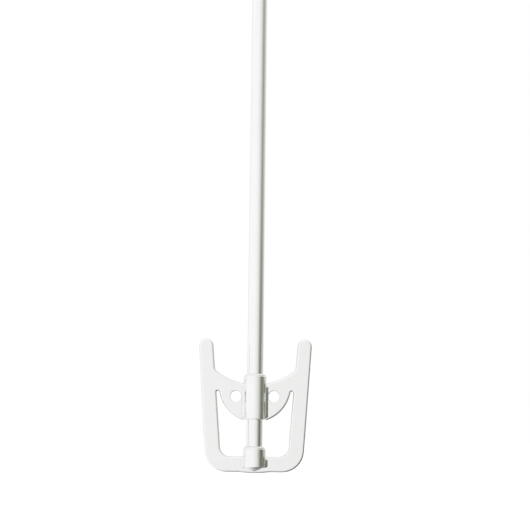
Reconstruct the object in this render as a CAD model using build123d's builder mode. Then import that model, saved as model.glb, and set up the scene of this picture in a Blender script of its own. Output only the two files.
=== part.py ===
"""Drill paint mixer: a round steel drive shaft with a flat anchor blade on its lower end.

The blade stands in the XZ plane and the shaft runs up +Z from it. The origin is on the shaft's
axis, level with the blade's lowest edge. The front of the mixer faces -Y. Millimetres.
"""

from build123d import *
from math import radians, sqrt, tan
import os

# Drive shaft: a round bar whose top end is a hexagon for the drill chuck.
overall_length = 600.0
shaft_radius = 6.0
hex_flats = 10.0
hex_length = 50.0
hex_end_chamfer = 1.2

# Sleeves: tube, 17 x 2.5, slipped over the bar and let into the blade.
sleeve_radius = 8.5
sleeve_edge = 0.4
lower_sleeve_foot = 3.95
lower_sleeve_top = 17.5
lower_sleeve_chamfer = 0.8
upper_sleeve_foot = 38.8
upper_sleeve_top = 70.2

# Anchor blade, cut from plate. Its arms lean outwards and narrow a little towards their tips.
plate_thickness = 4.0
plate_edge_radius = 1.5
blade_height = 97.85
blade_tip_half_width = 42.35
arm_tip_width = 10.6
arm_outer_flare = 4.1
arm_inner_flare = 4.82
bar_top = 12.0
heel_radius = 16.2
window_corner_radius = 7.5
tip_radius = 5.1
bar_swell = 0.75
bar_swell_half_width = 11.0

# The web between the arms: its upper and lower edges are arcs about points on the axis.
web_top_low_point = 64.35
web_top_radius = 46.4
web_shoulder_radius = 4.0
web_foot_low_point = 36.8
web_foot_radius = 26.75
slot_end_height = 59.25
slot_end_radius = 0.8
flow_hole_radius = 4.25
flow_hole_spacing = 28.0
flow_hole_height = 55.45
flow_hole_edge = 0.5

# Welds.
ring_weld_leg = 2.0
ring_weld_height = 2.0
ring_weld_crown = 0.3
seam_weld_leg = 1.6
lower_seam_foot = 4.1
lower_seam_top = 10.4
upper_seam_foot = 39.8
upper_seam_top = 63.0
end_weld_radius = 6.0
end_weld_point = 1.45

# Worked out from the sizes above.
plate_half = plate_thickness / 2
outer_slope = tan(radians(arm_outer_flare))
inner_slope = tan(radians(arm_inner_flare))
seam_corner_x = sqrt(sleeve_radius**2 - plate_half**2)


def arm_outside(height):
    """X of an arm's outer edge at a height."""
    return blade_tip_half_width - (blade_height - height) * outer_slope


def arm_inside(height):
    """X of an arm's inner edge at a height."""
    return blade_tip_half_width - arm_tip_width - (blade_height - height) * inner_slope


def save(part, name):
    """Label a finished part and write it to its own file."""
    part.label = name
    export_step(part, f"parts/{name}.step")


def between_arms(foot, top):
    """Corners of the space between the arms' inner edges, from one height to another."""
    return [
        (-arm_inside(foot), foot),
        (arm_inside(foot), foot),
        (arm_inside(top), top),
        (-arm_inside(top), top),
    ]


def sleeve(foot, top, foot_chamfer):
    """A length of tube round the shaft: its top rim is rounded and its foot chamfered."""
    with BuildPart() as tube:
        with BuildSketch(Plane.XY.offset(foot)):
            Circle(sleeve_radius)
            Circle(shaft_radius, mode=Mode.SUBTRACT)
        extrude(amount=top - foot)
        chamfer(tube.faces().sort_by(Axis.Z)[0].edges().sort_by(SortBy.RADIUS)[-1], foot_chamfer)
        fillet(tube.faces().sort_by(Axis.Z)[-1].edges().sort_by(SortBy.RADIUS)[-1], sleeve_edge)
    return tube.part


def ring_weld(height):
    """The weld in the corner between a sleeve's top face and the shaft, all the way round."""
    outer = (shaft_radius + ring_weld_leg, height)
    inner = (shaft_radius, height + ring_weld_height)
    with BuildPart() as ring:
        with BuildSketch(Plane.XZ):
            with BuildLine():
                Line(inner, (shaft_radius, height))
                Line((shaft_radius, height), outer)
                SagittaArc(outer, inner, ring_weld_crown)
            make_face()
        revolve(axis=Axis.Z)
    return ring.part


def seam_weld(side, face, foot, top):
    """One bead up the corner between a sleeve and the plate: side is +-1 in X, face +-1 in Y."""
    with BuildPart() as bead:
        with BuildSketch(Plane.XY.offset(foot)):
            with Locations((side * seam_corner_x, face * plate_half)):
                Circle(seam_weld_leg)
            Circle(sleeve_radius, mode=Mode.SUBTRACT)
            Rectangle(4 * sleeve_radius, plate_thickness, mode=Mode.SUBTRACT)
        extrude(amount=top - foot)
    return bead.part


def end_weld(face):
    """The pointed weld under the lower sleeve, on one face of the bar: face is +-1 in Y."""
    drop = lower_sleeve_foot - end_weld_point
    cone_height = drop * end_weld_radius / (end_weld_radius - plate_half)
    with BuildPart() as deposit:
        with BuildSketch(Plane.XZ):
            with BuildLine():
                Polyline(
                    (0, lower_sleeve_foot),
                    (end_weld_radius, lower_sleeve_foot),
                    (0, lower_sleeve_foot - cone_height),
                    close=True,
                )
            make_face()
        revolve(axis=Axis.Z)
        split(bisect_by=Plane(origin=(0, face * plate_half, 0), z_dir=(0, face, 0)))
    return deposit.part


with BuildPart() as drive_shaft:
    with BuildSketch(Plane.XY.offset(lower_sleeve_foot)):
        Circle(shaft_radius)
    extrude(amount=overall_length - hex_length - lower_sleeve_foot)
    with BuildSketch(Plane.XY.offset(overall_length - hex_length)):
        RegularPolygon(hex_flats / 2, 6, major_radius=False)
    extrude(amount=hex_length)
    chamfer(drive_shaft.faces().sort_by(Axis.Z)[-1].edges(), hex_end_chamfer)

with BuildPart() as anchor_blade:
    with BuildSketch(Plane.XZ) as blade_outline:
        with BuildLine():
            Polyline(
                (-arm_outside(bar_swell), bar_swell),
                (arm_outside(bar_swell), bar_swell),
                (arm_outside(blade_height), blade_height),
                (-arm_outside(blade_height), blade_height),
                close=True,
            )
        make_face()
        fillet(blade_outline.vertices().group_by(Axis.Y)[0], heel_radius)
        # The open throat between the arms, above the web.
        with BuildSketch(Plane.XY, mode=Mode.PRIVATE) as throat:
            with BuildLine():
                Polyline(*between_arms(web_foot_low_point, blade_height), close=True)
            make_face()
            with Locations((0, web_top_low_point + web_top_radius)):
                Circle(web_top_radius, mode=Mode.INTERSECT)
        add(throat.sketch, mode=Mode.SUBTRACT)
        fillet(blade_outline.vertices().group_by(Axis.Y)[-1], tip_radius)
        web_shoulders = blade_outline.vertices().filter_by_position(
            Axis.Y, web_top_low_point + 1, blade_height - 2 * tip_radius
        )
        fillet(web_shoulders, web_shoulder_radius)
        # The window under the web, which the shaft crosses.
        with BuildSketch(Plane.XY, mode=Mode.PRIVATE) as window:
            with BuildLine():
                Polyline(*between_arms(bar_top, slot_end_height), close=True)
            make_face()
            with Locations((0, web_foot_low_point + web_foot_radius)):
                Circle(web_foot_radius, mode=Mode.SUBTRACT)
            fillet(window.vertices().group_by(Axis.Y)[0], window_corner_radius)
            fillet(window.vertices().group_by(Axis.Y)[-1], slot_end_radius)
        add(window.sketch, mode=Mode.SUBTRACT)
        # The bar is a little deeper under the hub.
        with BuildLine():
            ThreePointArc((-bar_swell_half_width, bar_swell), (0, 0), (bar_swell_half_width, bar_swell))
            Line((bar_swell_half_width, bar_swell), (-bar_swell_half_width, bar_swell))
        make_face()
    extrude(amount=plate_half, both=True)
    fillet(anchor_blade.faces().filter_by(Axis.Y).edges(), plate_edge_radius)
    with Locations(Plane(origin=(0, 0, flow_hole_height), x_dir=(1, 0, 0), z_dir=(0, -1, 0))):
        with GridLocations(flow_hole_spacing, 0, 2, 1):
            Hole(flow_hole_radius)
    fillet(anchor_blade.edges(Select.LAST).filter_by(GeomType.CIRCLE), flow_hole_edge)
    # The plate is cut away where the sleeves stand in it.
    with BuildSketch(Plane.XY.offset(lower_sleeve_foot)):
        Circle(sleeve_radius)
    extrude(amount=blade_height, mode=Mode.SUBTRACT)

os.makedirs("parts", exist_ok=True)
save(drive_shaft.part, "drive_shaft")
save(anchor_blade.part, "anchor_blade")
save(sleeve(lower_sleeve_foot, lower_sleeve_top, lower_sleeve_chamfer), "lower_sleeve")
save(sleeve(upper_sleeve_foot, upper_sleeve_top, sleeve_edge), "upper_sleeve")
save(ring_weld(lower_sleeve_top), "lower_ring_weld")
save(ring_weld(upper_sleeve_top), "upper_ring_weld")
for face_name, face in (("front", -1), ("rear", 1)):
    save(end_weld(face), f"end_weld_{face_name}")
    for side_name, side in (("left", -1), ("right", 1)):
        corner = f"{face_name}_{side_name}"
        save(seam_weld(side, face, lower_seam_foot, lower_seam_top), f"lower_seam_weld_{corner}")
        save(seam_weld(side, face, upper_seam_foot, upper_seam_top), f"upper_seam_weld_{corner}")
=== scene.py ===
"""Drill paint mixer: materials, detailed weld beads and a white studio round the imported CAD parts.

Metres, in the part's own frame: +Z up the shaft, the blade in the XZ plane, its front facing -Y.
"""

import math

import bmesh
import bpy
from mathutils import Euler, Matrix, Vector, noise


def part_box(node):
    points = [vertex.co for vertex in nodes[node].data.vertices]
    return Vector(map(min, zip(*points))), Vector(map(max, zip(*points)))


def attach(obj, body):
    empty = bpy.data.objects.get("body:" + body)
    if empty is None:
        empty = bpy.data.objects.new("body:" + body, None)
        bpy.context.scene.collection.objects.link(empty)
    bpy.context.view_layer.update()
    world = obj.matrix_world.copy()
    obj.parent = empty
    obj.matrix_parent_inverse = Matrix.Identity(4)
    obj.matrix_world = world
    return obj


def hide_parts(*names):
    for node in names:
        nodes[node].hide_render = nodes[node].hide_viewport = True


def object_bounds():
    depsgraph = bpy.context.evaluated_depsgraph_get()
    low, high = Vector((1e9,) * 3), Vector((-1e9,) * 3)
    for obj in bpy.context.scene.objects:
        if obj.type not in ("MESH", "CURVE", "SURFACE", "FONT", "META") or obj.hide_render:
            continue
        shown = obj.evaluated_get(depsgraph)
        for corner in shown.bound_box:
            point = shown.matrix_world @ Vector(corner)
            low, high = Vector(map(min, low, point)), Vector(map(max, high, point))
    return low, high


MM = 0.001

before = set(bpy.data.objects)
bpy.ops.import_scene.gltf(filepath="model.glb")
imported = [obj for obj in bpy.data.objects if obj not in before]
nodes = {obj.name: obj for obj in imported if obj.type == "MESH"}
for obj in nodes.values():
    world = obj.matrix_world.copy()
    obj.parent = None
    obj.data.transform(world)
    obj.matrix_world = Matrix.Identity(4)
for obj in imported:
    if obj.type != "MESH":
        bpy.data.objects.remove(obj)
cad_low, cad_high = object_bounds()
BODY = "root"
WHITE = (1.0, 1.0, 1.0, 1.0)


# ---------------------------------------------------------------- node-tree helpers

# Nearly all of a noise's values lie between these two.
NOISE_LOW, NOISE_HIGH = 0.3, 0.7
# A Mix node's colour sockets share their names with its other types', so they go by number.
MIX_FACTOR, MIX_FIRST, MIX_SECOND, MIX_RESULT = 0, 6, 7, 2


def new_material(name):
    """An empty metal: returns the material, its tree and its Principled shader."""
    material = bpy.data.materials.new(name)
    material.use_nodes = True
    tree = material.node_tree
    shader = tree.nodes["Principled BSDF"]
    shader.inputs["Metallic"].default_value = 1.0
    return material, tree, shader


def stretched_noise(tree, scale, detail=3.0, roughness=0.55):
    """Noise over the object's own coordinates in metres, with a scale for each axis."""
    coords = tree.nodes.new("ShaderNodeTexCoord")
    mapping = tree.nodes.new("ShaderNodeMapping")
    mapping.inputs["Scale"].default_value = scale
    texture = tree.nodes.new("ShaderNodeTexNoise")
    texture.inputs["Scale"].default_value = 1.0
    texture.inputs["Detail"].default_value = detail
    texture.inputs["Roughness"].default_value = roughness
    tree.links.new(coords.outputs["Object"], mapping.inputs["Vector"])
    tree.links.new(mapping.outputs["Vector"], texture.inputs["Vector"])
    return texture.outputs["Fac"]


def ramp(tree, value, stops):
    """A colour ramp over a value: stops are (place, (r, g, b))."""
    node = tree.nodes.new("ShaderNodeValToRGB")
    elements = node.color_ramp.elements
    while len(elements) < len(stops):
        elements.new(0.5)
    for element, (place, colour) in zip(elements, stops):
        element.position = place
        element.color = (*colour, 1.0)
    tree.links.new(value, node.inputs["Fac"])
    return node.outputs["Color"]


def grey_ramp(tree, value, stops):
    """A ramp of greys over a value: stops are (place, level)."""
    return ramp(tree, value, [(place, (level,) * 3) for place, level in stops])


def spread(tree, value, low, high):
    """Maps the middle of a noise's range to low..high."""
    node = tree.nodes.new("ShaderNodeMapRange")
    node.inputs["From Min"].default_value = NOISE_LOW
    node.inputs["From Max"].default_value = NOISE_HIGH
    node.inputs["To Min"].default_value = low
    node.inputs["To Max"].default_value = high
    tree.links.new(value, node.inputs["Value"])
    return node.outputs["Result"]


def maths(tree, operation, first, second):
    """One sum over two values, each a socket or a constant."""
    node = tree.nodes.new("ShaderNodeMath")
    node.operation = operation
    for socket, value in zip(node.inputs, (first, second)):
        if isinstance(value, (int, float)):
            socket.default_value = value
        else:
            tree.links.new(value, socket)
    return node.outputs["Value"]


def mixed(tree, blend, factor, first, second):
    """Two colours blended. The factor and the colours are each a socket or a constant."""
    node = tree.nodes.new("ShaderNodeMix")
    node.data_type = "RGBA"
    node.blend_type = blend
    for place, value in ((MIX_FACTOR, factor), (MIX_FIRST, first), (MIX_SECOND, second)):
        if isinstance(value, bpy.types.NodeSocket):
            tree.links.new(value, node.inputs[place])
        else:
            node.inputs[place].default_value = value
    return node.outputs[MIX_RESULT]


def bump(tree, shader, height, depth):
    """Adds a bump of the given depth in metres to a shader, on top of any there already."""
    node = tree.nodes.new("ShaderNodeBump")
    node.inputs["Distance"].default_value = depth
    tree.links.new(height, node.inputs["Height"])
    if shader.inputs["Normal"].is_linked:
        tree.links.new(shader.inputs["Normal"].links[0].from_socket, node.inputs["Normal"])
    tree.links.new(node.outputs["Normal"], shader.inputs["Normal"])


# ---------------------------------------------------------------- materials

# Painted shade and painted highlight on the plate, by how squarely its surface faces front or back: 0
# on a cut edge, 1 on a face. The cut edges are painted darker and the edges' shoulders painted
# brighter.
PLATE_EDGE_PAINTED_LIGHT = [
    (0.00, (0.74, 0.74, 0.73)),
    (0.45, (0.82, 0.82, 0.81)),
    (0.75, (1.00, 1.00, 1.00)),
    (0.88, (1.05, 1.05, 1.05)),
    (0.97, (1.00, 1.00, 1.00)),
]


def shaft_steel():
    """Bright zinc on drawn bar: fine lines along the bar and slow tonal streaks."""
    material, tree, shader = new_material("shaft_steel")
    streaks = stretched_noise(tree, (420, 420, 9), detail=4)
    cloud = stretched_noise(tree, (60, 60, 25), detail=2)
    lines = stretched_noise(tree, (3200, 3200, 40), detail=2)
    tone = maths(tree, "MULTIPLY", streaks, 0.6)
    tone = maths(tree, "ADD", tone, maths(tree, "MULTIPLY", cloud, 0.4))
    colour = ramp(tree, tone, [
        (NOISE_LOW, (0.90, 0.90, 0.895)),
        (NOISE_HIGH, (0.955, 0.955, 0.955)),
    ])
    tree.links.new(colour, shader.inputs["Base Color"])
    tree.links.new(spread(tree, streaks, 0.11, 0.18), shader.inputs["Roughness"])
    bump(tree, shader, lines, 0.003 * MM)
    return material


def sleeve_steel():
    """Bright zinc on tube: faint rings left by the lathe."""
    material, tree, shader = new_material("sleeve_steel")
    cloud = stretched_noise(tree, (110, 110, 110), detail=3)
    rings = stretched_noise(tree, (40, 40, 2600), detail=2)
    colour = ramp(tree, cloud, [
        (NOISE_LOW, (0.90, 0.905, 0.895)),
        (NOISE_HIGH, (0.95, 0.952, 0.948)),
    ])
    tree.links.new(colour, shader.inputs["Base Color"])
    tree.links.new(spread(tree, cloud, 0.12, 0.19), shader.inputs["Roughness"])
    bump(tree, shader, rings, 0.002 * MM)
    return material


def blade_steel():
    """Satin zinc on pressed plate: soft mottling, a fine grain and a few rubbed scratches. A painted
    highlight brightens the edges' shoulders, and painted shade darkens the cut edges themselves."""
    material, tree, shader = new_material("blade_steel")
    mottle = stretched_noise(tree, (75, 75, 75), detail=5, roughness=0.6)
    grain = stretched_noise(tree, (1900, 1900, 1900), detail=2)
    rubs = stretched_noise(tree, (90, 90, 1500), detail=3)
    plate = ramp(tree, mottle, [
        (NOISE_LOW, (0.915, 0.92, 0.912)),
        (NOISE_HIGH, (0.945, 0.948, 0.944)),
    ])
    coords = tree.nodes.new("ShaderNodeTexCoord")
    split = tree.nodes.new("ShaderNodeSeparateXYZ")
    tree.links.new(coords.outputs["Normal"], split.inputs["Vector"])
    facing = maths(tree, "ABSOLUTE", split.outputs["Y"], 0.0)
    # Painted shade on the cut edges and a painted highlight on their shoulders, by which way the
    # surface faces.
    painted_edge_light = ramp(tree, facing, PLATE_EDGE_PAINTED_LIGHT)
    colour = mixed(tree, "MULTIPLY", 1.0, plate, painted_edge_light)
    tree.links.new(colour, shader.inputs["Base Color"])
    rough = maths(tree, "ADD", spread(tree, mottle, 0.20, 0.27), spread(tree, rubs, -0.02, 0.04))
    tree.links.new(rough, shader.inputs["Roughness"])
    bump(tree, shader, grain, 0.0022 * MM)
    bump(tree, shader, rubs, 0.0012 * MM)
    return material


def weld_metal():
    """Zinc over weld bead: duller, and its tone varies a little at random."""
    material, tree, shader = new_material("weld_metal")
    cloud = stretched_noise(tree, (420, 420, 420), detail=4)
    grain = stretched_noise(tree, (3000, 3000, 3000), detail=2)
    colour = ramp(tree, cloud, [
        (NOISE_LOW, (0.85, 0.86, 0.85)),
        (NOISE_HIGH, (0.93, 0.935, 0.925)),
    ])
    tree.links.new(colour, shader.inputs["Base Color"])
    tree.links.new(spread(tree, cloud, 0.18, 0.28), shader.inputs["Roughness"])
    bump(tree, shader, grain, 0.004 * MM)
    return material


def give(piece, material):
    """Every face of the piece takes the material."""
    if piece.material_slots:
        for held in piece.material_slots:
            held.link = "OBJECT"
            held.material = material
    else:
        piece.data.materials.append(material)


# ---------------------------------------------------------------- weld beads

SHAFT_RADIUS = (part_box("drive_shaft")[1].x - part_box("drive_shaft")[0].x) / 2
SLEEVE_RADIUS = (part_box("upper_sleeve")[1].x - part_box("upper_sleeve")[0].x) / 2
PLATE_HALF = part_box("anchor_blade")[1].y
BITE = 0.06 * MM  # how far a bead's edges run into the metal that they join


SCALE_BOW = 0.45  # how far a scale's arc trails at its edges, in scales
SCALE_SHARPNESS = 0.7
SCALE_SUNK = 0.6  # how much of a scale's height lies below the smooth bead
EDGE_FADE = 0.6  # how much of its height a scale loses at the bead's edges
DRIFT = 0.35  # how far scales wander from an even pitch, in scales
DRIFT_LENGTH = 4  # in scales
LUMP_HEIGHT = 0.8  # as a share of a scale's
LUMP_LENGTH = 1.7  # in scales
LUMPS_ACROSS = 0.8
LUMP_SEED = 9.0


def scale_height(phase, across):
    """Height of a row of arc-shaped scales over the smooth bead. across is -1 to 1."""
    return abs(math.sin(math.pi * (phase - SCALE_BOW * across**2))) ** SCALE_SHARPNESS - SCALE_SUNK


def edge_fade(across):
    """How much of their full height scales keep at a place across the bead."""
    return 1 - EDGE_FADE * across**2


def ripple(along, across, pitch, depth, seed):
    """Height of a hand-laid bead's scales: their pitch drifts and they are lumpy."""
    drift = DRIFT * noise.noise(Vector((along / (DRIFT_LENGTH * pitch), seed, 0.0)))
    place = Vector((along / (LUMP_LENGTH * pitch), across * LUMPS_ACROSS, seed + LUMP_SEED))
    scale = scale_height(along / pitch + drift, across)
    return depth * (scale + LUMP_HEIGHT * noise.noise(place)) * edge_fade(across)


def new_object(name, mesh):
    """Turns a bmesh into an object in the scene, and frees the bmesh."""
    data = bpy.data.meshes.new(name)
    mesh.to_mesh(data)
    mesh.free()
    piece = bpy.data.objects.new(name, data)
    bpy.context.scene.collection.objects.link(piece)
    return piece


def closed_mesh(name, rings, wrap):
    """A closed solid through rings of points. wrap joins the last ring to the first; otherwise
    the first and last rings are capped. Each ring starts with a point that is buried in the
    steel, and the faces that run to it stay flat, so that they don't bend the bead's shading."""
    mesh = bmesh.new()
    grid = [[mesh.verts.new(point) for point in ring] for ring in rings]
    buried = {line[0] for line in grid}
    count = len(grid[0])
    last = len(grid) if wrap else len(grid) - 1
    for i in range(last):
        one, two = grid[i], grid[(i + 1) % len(grid)]
        for j in range(count):
            k = (j + 1) % count
            mesh.faces.new((one[j], one[k], two[k], two[j]))
    if not wrap:
        mesh.faces.new(grid[0])
        mesh.faces.new(grid[-1])
    bmesh.ops.recalc_face_normals(mesh, faces=mesh.faces)
    for face in mesh.faces:
        face.smooth = len(face.verts) == 4 and not buried.intersection(face.verts)
    return new_object(name, mesh)


def settle(piece, node, material):
    """The piece stands for the plain CAD weld of the same place."""
    give(piece, material)
    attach(piece, BODY)
    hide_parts(node)


SEAM_STEP = 0.14 * MM
SEAM_ACROSS = 11  # points across a bead's face
SEAM_SINK = math.radians(4)  # how far its edges turn into the plate and the sleeve
SEAM_END_ROUND = 1.3 * MM
SEAM_PITCH = 1.15 * MM
SEAM_DEPTH = 0.06 * MM
SEAM_LUMP_LENGTH = 2.2 * MM
SEAM_FILL = 0.97  # its mean reach, as a share of the flat weld's
SEAM_UNEVEN = 0.05
THINNEST = 0.03 * MM


def seam_bead(node, material, seed):
    """A flat, scaled fillet weld up the corner between a sleeve and the plate."""
    low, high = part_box(node)
    side = 1 if low.x > 0 else -1
    face = 1 if low.y > 0 else -1
    corner_x = math.sqrt(SLEEVE_RADIUS**2 - PLATE_HALF**2)
    leg = high.y - low.y
    steps = round((high.z - low.z) / SEAM_STEP)
    # About the corner, from the plate's face to the sleeve's wall, one leg along it.
    wall_angle = math.pi / 2 + math.atan2(PLATE_HALF, corner_x) + math.asin(leg / (2 * SLEEVE_RADIUS))
    rings = []
    for i in range(steps + 1):
        z = low.z + (high.z - low.z) * i / steps
        from_end = min(z - low.z, high.z - z)
        taper = math.sqrt(max(0.0, 1 - (1 - min(1.0, from_end / SEAM_END_ROUND)) ** 2))
        ring = [Vector((side * (corner_x - BITE), face * (PLATE_HALF - BITE), z))]
        for j in range(SEAM_ACROSS):
            share = 2 * j / (SEAM_ACROSS - 1) - 1
            angle = -SEAM_SINK + (wall_angle + 2 * SEAM_SINK) * j / (SEAM_ACROSS - 1)
            flat = math.cos(wall_angle / 2) / math.cos(angle - wall_angle / 2)
            lump = noise.noise(Vector((z / SEAM_LUMP_LENGTH, share, seed)))
            reach = leg * flat * (SEAM_FILL + SEAM_UNEVEN * lump)
            reach += ripple(z, share, SEAM_PITCH, SEAM_DEPTH, seed)
            reach = max(THINNEST, reach * taper)
            ring.append(Vector((
                side * (corner_x + reach * math.cos(angle)),
                face * (PLATE_HALF + reach * math.sin(angle)),
                z,
            )))
        rings.append(ring)
    settle(closed_mesh(node + "_bead", rings, wrap=False), node, material)


RING_AROUND = 220
RING_ACROSS = 9
RING_SCALES = 34  # a whole number, so that they meet without a step
RING_DEPTH = 0.07  # the scales' height, as a share of the bead's size
RING_UNEVEN = 0.06  # and the lumps'
RING_LUMPS = 2.2  # radius of the ring's circle through the noise
RING_BODY = 0.80  # the face's reach between its edges, as a share of a quarter-round bead's
RING_CROWN = 0.12  # and what the middle of the face adds to it


def ring_bead(node, material, seed):
    """A scaled fillet weld round the shaft on a sleeve's top face."""
    low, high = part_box(node)
    width = high.x - SHAFT_RADIUS + BITE
    height = high.z - low.z + BITE
    rings = []
    for i in range(RING_AROUND):
        turn = 2 * math.pi * i / RING_AROUND
        direction = Vector((math.cos(turn), math.sin(turn), 0.0))
        root = direction * (SHAFT_RADIUS - BITE) + Vector((0, 0, low.z - BITE))
        ring = [root]
        lump = noise.noise(Vector((RING_LUMPS * math.cos(turn), RING_LUMPS * math.sin(turn), seed)))
        for j in range(RING_ACROSS):
            share = 2 * j / (RING_ACROSS - 1) - 1
            angle = math.pi / 2 * j / (RING_ACROSS - 1)
            scales = scale_height(RING_SCALES * i / RING_AROUND, share) * edge_fade(share)
            swell = 1 + RING_UNEVEN * lump + RING_DEPTH * scales
            belly = RING_BODY + RING_CROWN * (1 - share**2)
            reach = (belly + (1 - belly) * share**2) * swell
            out = direction * (width * math.cos(angle) * reach)
            up = Vector((0, 0, height * math.sin(angle) * reach))
            ring.append(root + out + up)
        rings.append(ring)
    settle(closed_mesh(node + "_bead", rings, wrap=True), node, material)


END_AROUND = 40
END_DOWN = 22
END_PITCH = 1.0 * MM
END_DEPTH = 0.09 * MM
END_BELLY = 0.16 * MM
END_ROOT = 0.96  # the buried points' x, as a share of the rim's
END_OUTWARD = 0.6  # how far the belly swells outwards for each unit that it hangs down


def end_bead(node, material, seed):
    """The pointed deposit under the lower sleeve: scales that shrink down to its point."""
    low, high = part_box(node)
    face = 1 if low.y > 0 else -1
    rim_radius = math.hypot((high.x - low.x) / 2, PLATE_HALF)
    # The deposit is a cone cut off by the plate's face, and its lowest point lies on that face.
    slope = (high.z - low.z) / (rim_radius - PLATE_HALF)
    half_angle = math.acos(PLATE_HALF / rim_radius)
    rings = []
    for i in range(END_AROUND + 1):
        turn = half_angle * (2 * i / END_AROUND - 1)
        plan = Vector((math.sin(turn), face * math.cos(turn), 0.0))
        inner_radius = (PLATE_HALF - BITE) / math.cos(turn)
        root_x = rim_radius * math.sin(turn) * END_ROOT
        ring = [Vector((root_x, face * (PLATE_HALF - BITE), high.z + BITE))]
        for j in range(END_DOWN + 1):
            share = j / END_DOWN
            radius = rim_radius + (inner_radius - rim_radius) * share
            drop = (rim_radius - radius) * slope
            bed = math.sin(math.pi * share)
            along = radius - turn * turn * MM
            scales = ripple(along, share, END_PITCH, END_DEPTH, seed) * math.sqrt(bed)
            belly = bed * END_BELLY + scales
            ring.append(plan * (radius + END_OUTWARD * belly) + Vector((0, 0, high.z - drop - belly)))
        rings.append(ring)
    settle(closed_mesh(node + "_bead", rings, wrap=False), node, material)


# ---------------------------------------------------------------- the mixer

steels = {
    "drive_shaft": shaft_steel(),
    "upper_sleeve": sleeve_steel(),
    "anchor_blade": blade_steel(),
}
steels["lower_sleeve"] = steels["upper_sleeve"]
for node, material in steels.items():
    give(nodes[node], material)

SEED_STEP = 3.7  # sets each bead's noise apart from the next one's
bead_metal = weld_metal()
for number, node in enumerate(sorted(name for name in nodes if "weld" in name)):
    if "seam" in node:
        seam_bead(node, bead_metal, number * SEED_STEP)
    elif "ring" in node:
        ring_bead(node, bead_metal, number * SEED_STEP)
    else:
        end_bead(node, bead_metal, number * SEED_STEP)


# ---------------------------------------------------------------- floor, light and camera

FLOOR_DROP = 0.30
FLOOR_RADIUS = 14.0
FLOOR_GLOW = 0.3  # keeps the floor as pale as the white behind it


def pale_floor():
    """A wide pale floor, well below the hanging mixer. It isn't mirrored in the metal, which
    shows the studio's own light and dark sides."""
    mesh = bmesh.new()
    bmesh.ops.create_circle(mesh, cap_ends=True, segments=96, radius=FLOOR_RADIUS)
    floor = new_object("floor", mesh)
    floor.location.z = cad_low.z - FLOOR_DROP
    material = bpy.data.materials.new("floor_white")
    material.use_nodes = True
    shader = material.node_tree.nodes["Principled BSDF"]
    shader.inputs["Base Color"].default_value = (0.9, 0.9, 0.9, 1.0)
    shader.inputs["Roughness"].default_value = 0.9
    shader.inputs["Emission Color"].default_value = WHITE
    shader.inputs["Emission Strength"].default_value = FLOOR_GLOW
    floor.data.materials.append(material)
    floor.visible_glossy = False


# The studio's brightness by compass direction, in degrees from the front towards the right,
# and its tint: white on the left, a little dimmer behind, and a soft dark flag on the right.
STUDIO_ROUND = [
    (-180, (0.88, 0.88, 0.88)),
    (-150, (0.80, 0.80, 0.80)),
    (-128, (1.01, 1.01, 1.01)),
    (-20, (1.01, 1.01, 1.01)),
    (0, (0.95, 0.95, 0.95)),
    (14, (0.87, 0.87, 0.86)),
    (28, (0.79, 0.80, 0.77)),
    (38, (0.67, 0.68, 0.63)),
    (47, (0.54, 0.55, 0.49)),
    (57, (0.34, 0.35, 0.29)),
    (65, (0.24, 0.25, 0.20)),
    (74, (0.20, 0.21, 0.16)),
    (82, (0.28, 0.295, 0.24)),
    (90, (0.37, 0.39, 0.34)),
    (99, (0.46, 0.48, 0.44)),
    (114, (0.58, 0.60, 0.56)),
    (133, (0.82, 0.83, 0.79)),
    (155, (0.93, 0.93, 0.92)),
    (180, (0.88, 0.88, 0.88)),
]
# The dark place under the mixer: a direction down and to the right, and the brightness by how
# nearly a direction points into it: 0 is square to it or further away, 1 straight into it.
UNDER = Vector((0.6, 0.0, -0.8))
STUDIO_UNDER = [(0.30, 1.0), (0.55, 0.80), (0.78, 0.42), (1.0, 0.26)]
# How far the dark flag fades to white by height: from 0, level or below, to 1, straight up.
FLAG_FADE = [(0.0, 0.0), (0.12, 0.10), (0.45, 0.20), (0.85, 0.85)]


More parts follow.
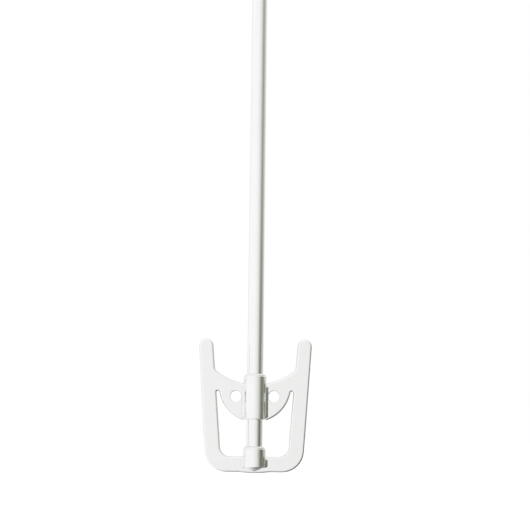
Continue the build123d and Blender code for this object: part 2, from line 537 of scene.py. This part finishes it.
def studio_world():
    """White studio light. What the lens sees behind the mixer is plain white."""
    world = bpy.data.worlds.new("studio")
    bpy.context.scene.world = world
    world.use_nodes = True
    tree = world.node_tree
    background = tree.nodes["Background"]
    coords = tree.nodes.new("ShaderNodeTexCoord")
    split = tree.nodes.new("ShaderNodeSeparateXYZ")
    tree.links.new(coords.outputs["Generated"], split.inputs["Vector"])
    forward = maths(tree, "MULTIPLY", split.outputs["Y"], -1.0)
    turn = maths(tree, "ARCTAN2", split.outputs["X"], forward)
    turn = maths(tree, "ADD", maths(tree, "DIVIDE", turn, 2 * math.pi), 0.5)
    around = ramp(tree, turn, [(angle / 360 + 0.5, colour) for angle, colour in STUDIO_ROUND])
    fade = grey_ramp(tree, split.outputs["Z"], FLAG_FADE)
    toward = tree.nodes.new("ShaderNodeVectorMath")
    toward.operation = "DOT_PRODUCT"
    toward.inputs[1].default_value = UNDER
    tree.links.new(coords.outputs["Generated"], toward.inputs[0])
    under = grey_ramp(tree, toward.outputs["Value"], STUDIO_UNDER)
    flag = mixed(tree, "MIX", fade, around, WHITE)
    light = mixed(tree, "MULTIPLY", 1.0, flag, under)
    path = tree.nodes.new("ShaderNodeLightPath")
    seen = mixed(tree, "MIX", path.outputs["Is Camera Ray"], light, WHITE)
    tree.links.new(seen, background.inputs["Color"])


CAMERA_PLACE = (0.0, -0.711, 0.0408)
CAMERA_LENS = 64.7
CAMERA_TILT = math.radians(9.05)  # upwards
CAMERA_TURN = math.radians(0.51)  # to the right
CAMERA_ROLL = math.radians(0.63)


def studio_camera():
    """A lens at the blade's height that looks up a little, so the shaft runs out of the frame."""
    data = bpy.data.cameras.new("camera")
    data.lens = CAMERA_LENS
    camera = bpy.data.objects.new("camera", data)
    bpy.context.scene.collection.objects.link(camera)
    camera.location = CAMERA_PLACE
    look = Euler((math.pi / 2 + CAMERA_TILT, 0.0, -CAMERA_TURN)).to_matrix()
    roll = Euler((0.0, 0.0, CAMERA_ROLL)).to_matrix()
    camera.rotation_euler = (look @ roll).to_euler()
    bpy.context.scene.camera = camera


pale_floor()
studio_world()
studio_camera()
bpy.context.scene.view_settings.view_transform = "Standard"
